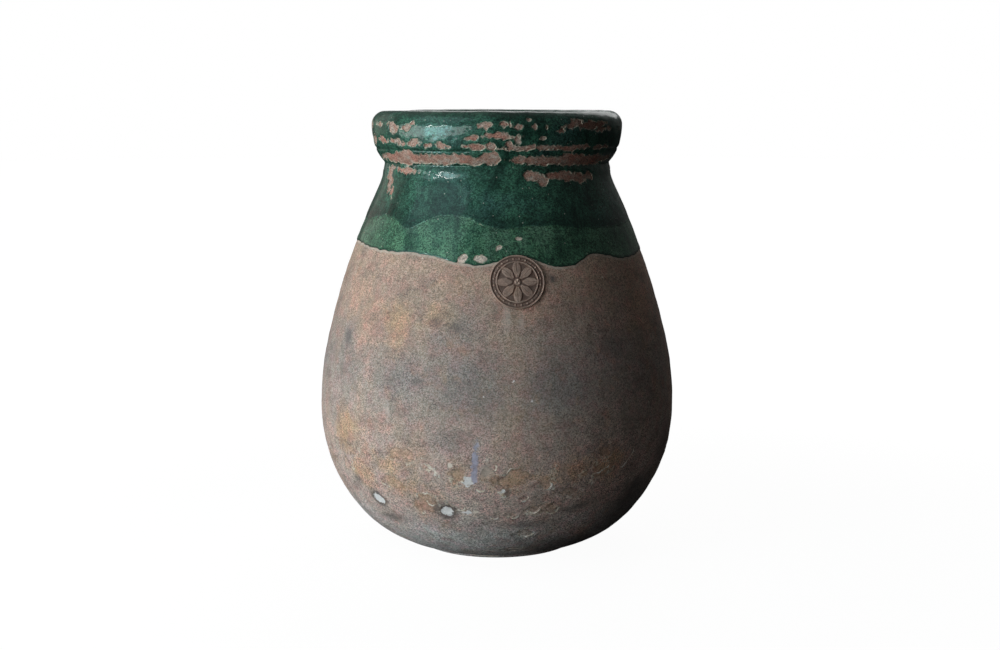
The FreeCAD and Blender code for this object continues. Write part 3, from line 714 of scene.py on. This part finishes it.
def seal():
    """The stamped seal: a bordered disc with beads, a ring and a rosette, worn soft."""
    low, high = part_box("seal_medallion")
    middle = (low + high) / 2
    radius = (high.z - low.z) / 2 / 0.94
    border, bead_ring, bead_count, inner_ring, rosette = 0.965, 0.845, 24, 0.74, 0.40
    share = np.linspace(0, 1.0, SEAL_RINGS + 1)[1:, None]
    angle = turns_of(SEAL_TURNS)
    place = angle * bead_count / tau

    def ridge(at, width, soft=0.02):
        return rise(width / 2 + soft - np.abs(share - at), 0, 2 * soft)

    petals = np.abs(np.cos(4 * angle)) * 0.50 - np.abs(share - rosette) * 1.3
    petal = rise(petals, 0, 0.12) * rise(share, 0.15, 0.2)
    groove = 1 - rise(np.abs(np.sin(4 * angle)) * share, 0, 0.03)
    beside = (place % 1 - 0.5) * tau / bead_count * bead_ring
    beads = rise(0.055 - np.hypot(share - bead_ring, beside), 0, 0.04)
    bars = rise(0.3 - np.abs((place + 0.5) % 1 - 0.5), 0, 0.14) * ridge(bead_ring, 0.06)
    boss = rise(0.13 - share, 0, 0.04)
    relief = np.maximum.reduce(np.broadcast_arrays(
        ridge(border, 0.055), ridge(inner_ring, 0.045), beads, petal * (1 - 0.6 * groove) * 0.8, boss,
        bars * 0.35))
    wear = 0.75 + 0.25 * np.sin(angle * 3 + 1) * np.cos(share * 5)
    along = along_at(middle.z) + share * radius * np.cos(angle)
    rows = on_outer(along)
    turn = atan2(middle.x, -middle.y) + share * radius * np.sin(angle) / rows[..., 0]
    rough = layered(turn, along, (0.16, 3, 91), (0.2, 7, 92))
    height = dents(turn, along) + (1.2 + relief * 1.9 * wear + rough) * MM
    height = height - rise(share, 0.985, 1.0) * 2.4 * MM
    points = spot_on(rows, outward(rows - on_outer(along - 2 * MM)), turn, height)
    faces = [row_face(0, SEAL_TURNS)]
    for row in range(SEAL_RINGS - 1):
        faces += ring_faces((row + 1) * SEAL_TURNS, row * SEAL_TURNS, SEAL_TURNS)
    return add_piece("seal", points, faces, ["seal_medallion"], {"relief": relief * wear})


# Materials

class Look:
    """The nodes of a material or a world, with a short call for each kind."""

    def __init__(self, name, kind="materials", place="Object"):
        self.owner = getattr(bpy.data, kind).new(name)
        self.owner.use_nodes = True
        self.tree = self.owner.node_tree
        self.tree.nodes.clear()
        self.place = self.add("TexCoord")[place]
        self.colour = None

    def node(self, kind, inputs=(), **settings):
        made = self.tree.nodes.new("ShaderNode" + kind)
        for key, value in settings.items():
            setattr(made, key, value)
        for socket, value in dict(inputs).items():
            self.feed(made.inputs[socket], value)
        return made

    def add(self, *given, **settings):
        return self.node(*given, **settings).outputs

    def feed(self, socket, value):
        if isinstance(value, bpy.types.NodeSocket):
            self.tree.links.new(value, socket)
        elif isinstance(value, tuple) and len(value) == 3 and socket.type == "RGBA":
            socket.default_value = (*value, 1)
        else:
            socket.default_value = value

    def noise(self, scale, detail=4.0, rough=0.55, stretch=(1, 1, 1), twist=0.0, shift=0.0):
        place = self.add("Mapping", {
            "Vector": self.place, "Scale": stretch, "Location": (shift, shift, shift)})[0]
        return self.add("TexNoise", {
            "Vector": place, "Scale": scale, "Detail": detail, "Roughness": rough, "Distortion": twist,
        })[0]

    def cells(self, scale):
        return self.add("TexVoronoi", {"Vector": self.place, "Scale": scale})

    def field(self, name):
        return self.add("Attribute", attribute_name=name)["Fac"]

    def band(self, value, low, high, start=0.0, end=1.0):
        return self.add("MapRange", {
            "Value": value, "From Min": low, "From Max": high, "To Min": start, "To Max": end,
        }, interpolation_type="SMOOTHSTEP")[0]

    def math(self, operation, first, second):
        return self.add("Math", {0: first, 1: second}, operation=operation)[0]

    def plus(self, first, second):
        return self.math("ADD", first, second)

    def times(self, first, second):
        return self.math("MULTIPLY", first, second)

    def swing(self, value, size):
        """A random value's swing about its middle, times a size."""
        return self.times(self.math("SUBTRACT", value, 0.5), size)

    def mix(self, share, first, second, blend="MIX"):
        return self.add("Mix", {0: share, 6: first, 7: second}, data_type="RGBA", blend_type=blend)[2]

    def paint(self, share, tint):
        """Mixes a share of a tint into the colour so far."""
        self.colour = self.mix(share, self.colour, tint)

    def lay(self, tint, value, low, high, share=1.0):
        """Paints a tint where a value rises from low to high."""
        self.paint(self.band(value, low, high, 0, share), tint)

    def shade(self, factor):
        """Multiplies the colour so far by a number or another colour."""
        self.colour = self.mix(1.0, self.colour, factor, "MULTIPLY")

    def ramp(self, value, *stops):
        made = self.node("ValToRGB", {"Fac": value})
        elements = made.color_ramp.elements
        while len(elements) < len(stops):
            elements.new(0.5)
        for element, (place, *colour) in zip(elements, stops):
            element.position = place
            element.color = (*colour, 1)
        return made.outputs["Color"]

    def axis(self, vector, index):
        return self.add("SeparateXYZ", {0: vector})[index]

    def channel(self, colour, index):
        return self.add("SeparateColor", {0: colour})[index]

    def dots(self, scale, channel, chances, sizes, strength=1.0, luck=0.0):
        """Soft round dots in the few cells whose chance is high."""
        cells = self.cells(scale)
        chosen = self.band(self.plus(self.channel(cells["Color"], channel), luck), *chances)
        return self.times(chosen, self.band(cells["Distance"], *sizes, strength, 0))

    def bump(self, height, distance, strength, under=None):
        inputs = {"Height": height, "Distance": distance, "Strength": strength}
        if under:
            inputs["Normal"] = under
        return self.add("Bump", inputs)[0]

    def seen(self, way):
        """1 for the camera's rays, and for mirrored ones that go straight on to the backdrop."""
        paths = self.add("LightPath")
        glints = self.math("MAXIMUM", paths["Is Glossy Ray"], paths["Is Transmission Ray"])
        mirrored = self.times(self.band(self.axis(way, 1), *BACKDROP_EDGE), glints)
        return self.math("MAXIMUM", paths["Is Camera Ray"], mirrored)

    def done(self, rough, normal, shine, more=()):
        shader = self.add("BsdfPrincipled", {
            "Base Color": self.colour, "Roughness": rough, "Normal": normal, "Specular IOR Level": shine,
            **dict(more)})
        self.add("OutputMaterial", {"Surface": shader[0]})
        return self.owner


def clay_look():
    """Worn, unglazed earthenware: mottled buff and mauve-grey, ochre where the skin has flaked, pink
    in the breaks of the glaze."""
    look = Look("worn_clay")
    blotch = look.noise(38, 7, 0.68, shift=3.1)
    fleck = look.noise(150, 5, 0.68, shift=1.7)
    fine = look.noise(430, 4, 0.7, shift=5.3)
    height, glazed = look.axis(look.place, 2), look.field("glazed")

    def ragged(name, coarse, small):
        """A mark's field with its edge made uneven by two sizes of noise."""
        uneven = look.plus(look.swing(blotch, coarse), look.swing(fleck, small))
        return look.plus(look.field(name), uneven)

    def stain(*stains):
        for name, coarse, small, low, high, share, tint in stains:
            look.lay(tint, ragged(name, coarse, small), low, high, share)

    # Sand in the clay
    minerals = look.cells(880)["Color"]
    sand = look.channel(minerals, 0)
    strength = look.times(look.band(height, 0.1, 0.24, 1.3, 0.95), look.band(blotch, 0.35, 0.65, 0.85, 1.1))
    grains = look.plus(1.0, look.swing(sand, strength))
    grains = look.times(grains, look.band(fine, 0.3, 0.7, 0.95, 1.05))

    # Clay laid bare where the glaze has broken off
    look.colour = look.ramp(
        look.noise(95, 7, 0.75), (0.3, 0.15, 0.095, 0.08), (0.42, 0.36, 0.2, 0.155),
        (0.52, 0.42, 0.28, 0.225), (0.62, 0.42, 0.36, 0.31), (0.74, 0.6, 0.54, 0.47))
    look.lay((0.43, 0.19, 0.145), look.noise(40, 4, 0.6, shift=9.4), 0.5, 0.64, 0.65)
    look.lay((0.42, 0.38, 0.33), look.noise(55, 4, 0.6, shift=4.9), 0.52, 0.64, 0.6)
    stain(("rust", 24, 12, -3, 3, 0.75, (0.2, 0.105, 0.08)))
    look.paint(look.band(height, 0.45, 0.48, 0.7, 0), (0.66, 0.61, 0.54))
    look.shade(grains)
    broken = look.colour

    # The fired colour up the wall, with broad stains; the pale grey at the foot is partly the clay's own
    # pale band and partly painted light from the floor
    level = look.plus(height, look.swing(look.noise(11, 6, 0.62), 0.12))
    look.colour = look.ramp(
        # the pale grey stops at the foot are partly painted light
        look.times(level, 2), (0.0, 0.62, 0.62, 0.62), (0.1, 0.59, 0.57, 0.56),
        (0.2, 0.565, 0.458, 0.412), (0.32, 0.53, 0.425, 0.383), (0.42, 0.42, 0.352, 0.315),
        (0.54, 0.36, 0.31, 0.285), (0.66, 0.4, 0.318, 0.272), (0.8, 0.465, 0.345, 0.277))
    vivid = look.band(height, 0.19, 0.27, 0.66, 0.5)
    for name, small, tint in ("salmon", 14, (0.54, 0.33, 0.25)), ("ochre", 16, (0.57, 0.365, 0.21)):
        look.paint(look.times(look.band(ragged(name, 70, small), -14, 16), vivid), tint)
    # grey stains; the two low on the right are painted shade
    stain(("grey", 60, 16, -14, 16, 0.5, (0.25, 0.24, 0.24)))
    look.lay((0.52, 0.37, 0.28), look.noise(20, 4, 0.6, (1, 1, 0.35), shift=8.2), 0.5, 0.68, 0.4)
    look.lay((0.22, 0.18, 0.165), look.noise(26, 4, 0.6, (1, 1, 1.6), shift=2.3), 0.5, 0.66, 0.4)
    look.lay((0.46, 0.29, 0.19), look.noise(44, 3, 0.6, shift=6.6), 0.55, 0.7, 0.3)
    look.shade(look.band(blotch, 0.32, 0.68, 0.9, 1.07))
    look.shade(look.band(fleck, 0.3, 0.7, 0.94, 1.05))
    look.shade(grains)
    look.shade(look.ramp(look.channel(minerals, 1), (0.1, 1.05, 0.985, 0.965), (0.9, 0.955, 1.012, 1.03)))
    look.shade(look.ramp(look.noise(64, 3, 0.6, shift=11.3), (0.36, 1.07, 0.955, 0.975), (0.5, 1, 1, 1),
                         (0.64, 0.97, 1.012, 0.985)))

    # Flaked skin with painted shadow just inside its edges, stains and painted shade, pale curled lips that
    # are partly painted highlight, white spots and pits
    flake = ragged("flake", 46, 16)
    bare = look.ramp(fleck, (0.32, 0.3, 0.19, 0.125), (0.5, 0.46, 0.31, 0.2), (0.66, 0.58, 0.45, 0.34))
    look.lay(bare, flake, -0.4, 0.8, 0.35)
    # painted shadow: a dark ring just inside each flake's edge, under its curled lip
    under = look.times(look.band(flake, -0.5, 0.2), look.band(flake, 0.9, 2.2, 1, 0))
    look.paint(look.times(under, 0.2), (0.12, 0.09, 0.07))
    stain(
        # painted shade low on the right, with two dark stains round the back
        ("shade_and_soot", 60, 14, -22, 24, 0.62, (0.12, 0.112, 0.11)),
        # dark spots; the one low on the right is painted shade
        ("dark", 20, 12, -6, 6, 0.6, (0.13, 0.12, 0.12)),
        ("halo", 16, 12, -4, 5, 0.72, (0.095, 0.095, 0.1)),
        ("wash", 8, 12, -3, 4, 0.4, (0.62, 0.58, 0.53)),
        ("blue", 7, 14, -0.8, 1.2, 0.8, look.ramp(fleck, (0.4, 0.3, 0.32, 0.45), (0.6, 0.48, 0.5, 0.65))))
    # pale curled lips along the flakes' edges and the listed crests, partly the lips' own pale colour and
    # partly painted highlight where they catch the lamps
    bent = look.math("MAXIMUM", look.band(ragged("curl", 10, 8), -3, 0.5),
                     look.band(blotch, 0.5, 0.58, 0, 0.5))
    lip = look.times(look.band(flake, -3.4, -2.6), look.band(flake, -0.8, 0.0, 1, 0))
    lip = look.times(lip, bent)
    look.paint(lip, look.ramp(
        fleck, (0.34, 0.7, 0.56, 0.4), (0.48, 0.92, 0.84, 0.7), (0.6, 0.96, 0.94, 0.87)))
    curl = look.times(look.band(ragged("crest", 5, 5), -0.4, 0.3),
                      look.band(ragged("hollow", 5, 5), -0.4, 0.3, 1, 0))
    look.paint(curl, look.ramp(
        fleck, (0.34, 0.7, 0.54, 0.4), (0.48, 0.93, 0.85, 0.72), (0.6, 0.97, 0.95, 0.9)))
    chalk = look.ramp(fine, (0.3, 0.78, 0.79, 0.81), (0.55, 0.95, 0.95, 0.95))
    stain(("pale", 5, 7, -0.3, 0.6, 0.95, (0.84, 0.77, 0.68)), ("white", 6, 14, -0.6, 0.4, 0.95, chalk))
    look.paint(look.dots(95, 0, (0.955, 0.96), (0.06, 0.13), 0.9), (0.75, 0.7, 0.62))
    pit = look.dots(210, 1, (0.9, 0.93), (0.1, 0.34))
    look.paint(look.times(pit, 0.35), (0.12, 0.095, 0.08))
    shelf = look.times(look.band(glazed, -4.5, -1.5), look.band(fleck, 0.4, 0.55, 0.3, 0.75))
    look.paint(shelf, (0.6, 0.54, 0.47))
    look.lay(broken, glazed, 1.0, 2.0)

    # Unevenness of the skin
    lumps = look.bump(blotch, 0.0012, 0.4)
    raised = look.plus(look.band(flake, -1.0, 0.4, 1, 0), look.math("MAXIMUM", lip, curl))
    skin = look.bump(raised, 0.0014, 0.7, lumps)
    gritty = look.math("SUBTRACT", look.plus(fine, look.times(sand, 0.5)), pit)
    rough = look.band(fleck, 0.3, 0.7, 0.78, 0.95)
    return look.done(rough, look.bump(gritty, 0.0005, 0.4, skin), 0.25)


def seal_look():
    """The seal's clay, with painted shade in the hollows and painted highlight on the ridges."""
    look = Look("seal_clay")
    blotch = look.noise(90, 6, 0.7)
    grit = look.noise(900, 3, 0.7)
    # by the relief's height: painted shade in the hollows and painted highlight on the ridges
    look.colour = look.ramp(look.field("relief"), (0.0, 0.16, 0.105, 0.085), (0.35, 0.32, 0.22, 0.18),
                            (0.85, 0.5, 0.365, 0.3))
    look.lay((0.19, 0.145, 0.125), blotch, 0.42, 0.66, 0.55)
    look.lay((0.36, 0.23, 0.16), look.noise(50, 5), 0.52, 0.66, 0.35)
    look.shade(look.band(grit, 0.3, 0.7, 0.78, 1.18))
    skin = look.bump(grit, 0.0005, 0.7, look.bump(blotch, 0.0008, 0.5))
    return look.done(look.band(blotch, 0.3, 0.7, 0.7, 0.92), skin, 0.3)


def glaze_look(name, tones, flecked, dust, under=None):
    """Runny copper-green lead glaze: mottled, streaked, pin-holed, pale along its breaks, dusty where
    it faces up; the tones under it show below its hem."""
    look = Look(name)
    run = look.noise(30, 6, 0.66, (1, 1, 0.4), 0.4)
    clouds = look.noise(15, 5, 0.65, shift=4.4)
    fleck = look.noise(170, 5, 0.7, shift=2.2)
    spots = look.noise(85, 6, 0.72, shift=7.1)
    fine = look.noise(520, 4, 0.7)
    grains = look.channel(look.cells(720)["Color"], 0)

    def mottle(deep, middle, bright, cloud):
        look.colour = look.ramp(run, (0.34, *deep), (0.47, *middle), (0.6, *bright), (0.74, *middle))
        look.lay(cloud, clouds, 0.48, 0.7, 0.7)
        look.lay(deep, fleck, 0.48, 0.64, flecked)
        look.lay(bright, spots, 0.53, 0.66, 0.6)

    mottle(*tones)
    hem = look.field("hem")
    if under:
        hem = look.plus(hem, look.swing(look.noise(60, 5, 0.65, (1, 1, 0.5)), 7))
        look.paint(look.times(look.band(hem, 1.0, 4.0), look.band(hem, 7, 24, 0.55, 0)), tones[0])
        own = look.colour
        mottle(*under)
        look.lay(own, hem, 0.2, 3.0)
    else:
        look.paint(look.band(hem, 0.8, 4.0, 0.85, 0), tones[0])
    look.shade(look.band(fine, 0.3, 0.7, 0.7, 1.3))
    look.shade(look.band(grains, 0, 1, 0.35, 1.65))
    top = look.band(look.axis(look.add("NewGeometry")["Normal"], 2), 0.45, 0.95)
    dusty = look.times(top, look.band(look.noise(60, 5), 0.35, 0.65, dust * 0.3, dust))
    look.paint(dusty, (0.11, 0.14, 0.11))
    speck = look.dots(240, 0, (0.94, 0.95), (0.1, 0.26), luck=look.swing(clouds, 0.2))
    look.paint(look.times(speck, 0.8), (0.5, 0.52, 0.45))
    edge = look.times(look.band(look.field("chip"), 0.2, 1.4, 1, 0),
                      look.band(look.noise(140, 3), 0.38, 0.52, 0.15, 1))
    look.paint(edge, (0.52, 0.46, 0.37))
    rough = look.band(look.noise(45, 6, 0.7), 0.35, 0.72, 0.3, 0.5)
    rough = look.plus(rough, look.times(look.math("MAXIMUM", edge, top), 0.3))
    waves = look.bump(look.noise(50, 2, 0.5, (1, 1, 1.4)), 0.003, 0.4)
    gritty = look.math("SUBTRACT", look.plus(fine, look.times(grains, 0.5)), look.times(speck, 1.2))
    return look.done(rough, look.bump(gritty, 0.0002, 0.5, waves), 0.5, {
        "Specular Tint": (0.5, 1, 0.95), "Coat Weight": 0.38, "Coat Roughness": 0.04, "Coat Normal": waves})


def lining_look():
    """Honey-brown lead glaze, darker lower down, with runs and stains."""
    look = Look("honey_lining")
    run = look.noise(22, 6, 0.65, (1, 1, 0.25))
    look.colour = look.ramp(run, (0.3, 0.2, 0.1, 0.04), (0.5, 0.38, 0.22, 0.09), (0.7, 0.5, 0.33, 0.16))
    look.lay((0.14, 0.08, 0.04), look.field("down"), 0.1, 0.6, 0.5)
    look.lay((0.3, 0.24, 0.17), look.noise(70, 5), 0.55, 0.72, 0.55)
    rough = look.band(look.noise(45), 0.3, 0.7, 0.22, 0.5)
    return look.done(rough, look.bump(look.noise(90, 4), 0.0006, 0.5), 0.45)


# The stage: floor, light and camera

def floor():
    """A pale round floor that keeps the jar's shadow."""
    mesh = bmesh.new()
    bmesh.ops.create_circle(mesh, cap_ends=True, segments=96, radius=FLOOR_RADIUS)
    data = bpy.data.meshes.new("floor")
    mesh.to_mesh(data)
    mesh.free()
    look = Look("pale_floor")
    way = look.add("VectorMath", {0: look.place}, operation="NORMALIZE")["Vector"]
    away = look.add("VectorMath", {0: look.place}, operation="LENGTH")["Value"]
    matt = look.add("BsdfDiffuse", {"Color": (0.07, 0.07, 0.07)})[0]
    strength = look.band(away, 0.5, 1.6, 0.965, 1.0)
    glow = look.add("Emission", {"Color": WHITE_LIGHT, "Strength": strength})[0]
    pale = look.add("AddShader", {0: matt, 1: glow})[0]
    both = look.add("MixShader", {0: look.seen(way), 1: matt, 2: pale})[0]
    look.add("OutputMaterial", {"Surface": both})
    data.materials.append(look.owner)
    made = placed("floor", data)


def surroundings():
    """A dim room with a white backdrop behind the jar."""
    look = Look("studio", "worlds", "Generated")
    bpy.context.scene.world = look.owner
    dim, white = (look.add("Background", {"Color": colour})[0]
                  for colour in (ROOM_COLOUR, WHITE_LIGHT))
    both = look.add("MixShader", {0: look.seen(look.place), 1: dim, 2: white})[0]
    look.add("OutputWorld", {"Surface": both})


def pane(name, turn, lift, width, height, power, colour):
    """One soft lamp, turned right of the camera and raised by degrees, facing the jar's shoulder."""
    turn, lift, aim = radians(turn), radians(lift), Vector(LAMP_AIM)
    level = cos(lift)
    way = Vector((sin(turn) * level, -cos(turn) * level, sin(lift)))
    data = bpy.data.lights.new(name, "AREA")
    data.shape = "RECTANGLE"
    data.size, data.size_y = width, height
    data.energy, data.color = power, colour
    made = placed(name, data)
    made.location = aim + LAMP_DISTANCE * way
    made.rotation_euler = (-way).to_track_quat("-Z", "Y").to_euler()


def camera():
    """The photograph's viewpoint: a little above the rim, looking slightly down."""
    data = bpy.data.cameras.new("camera")
    data.sensor_width = CAMERA_SENSOR
    data.lens = CAMERA_LENS
    made = placed("camera", data)
    made.location = CAMERA_PLACE
    made.rotation_euler = (radians(90 - CAMERA_DOWN), 0, 0)
    bpy.context.scene.camera = made


# Deep, middle, bright and cloudy tones of the two coats
DARK_TONES = (0.0055, 0.019, 0.0125), (0.019, 0.068, 0.046), (0.042, 0.13, 0.085), (0.042, 0.104, 0.094)
LIGHT_TONES = (0.012, 0.039, 0.024), (0.045, 0.128, 0.076), (0.087, 0.205, 0.12), (0.11, 0.187, 0.142)

CLAY_LOOK = clay_look()
for piece in clay_body():
    piece.data.materials.append(CLAY_LOOK)
dark_coat().data.materials.append(glaze_look("dark_glaze", DARK_TONES, 0.6, 0.4, LIGHT_TONES))
light_coat().data.materials.append(glaze_look("light_glaze", LIGHT_TONES, 0.4, 0.2))
lining().data.materials.append(lining_look())
seal().data.materials.append(seal_look())
floor()
surroundings()
pane("upper_pane", -52, 10, 0.7, 0.07, 8, (1, 0.98, 0.96))
pane("sky_pane", -53, -1, 0.75, 0.42, 6.5, (0.36, 0.93, 1))
pane("broad_window", -58, -2, 3.0, 0.62, 30, (1, 0.92, 0.91))
pane("side_glow", -128, 15, 1.6, 1.4, 2.6, (1, 0.9, 0.8))
pane("skylight", -60, 47, 2.0, 1.4, 9, (0.8, 0.95, 1))
pane("back_light", 168, 32, 1.6, 1.2, 13, WHITE_LIGHT)
camera()
bpy.context.scene.view_settings.view_transform = "Standard"
bpy.context.view_layer.update()
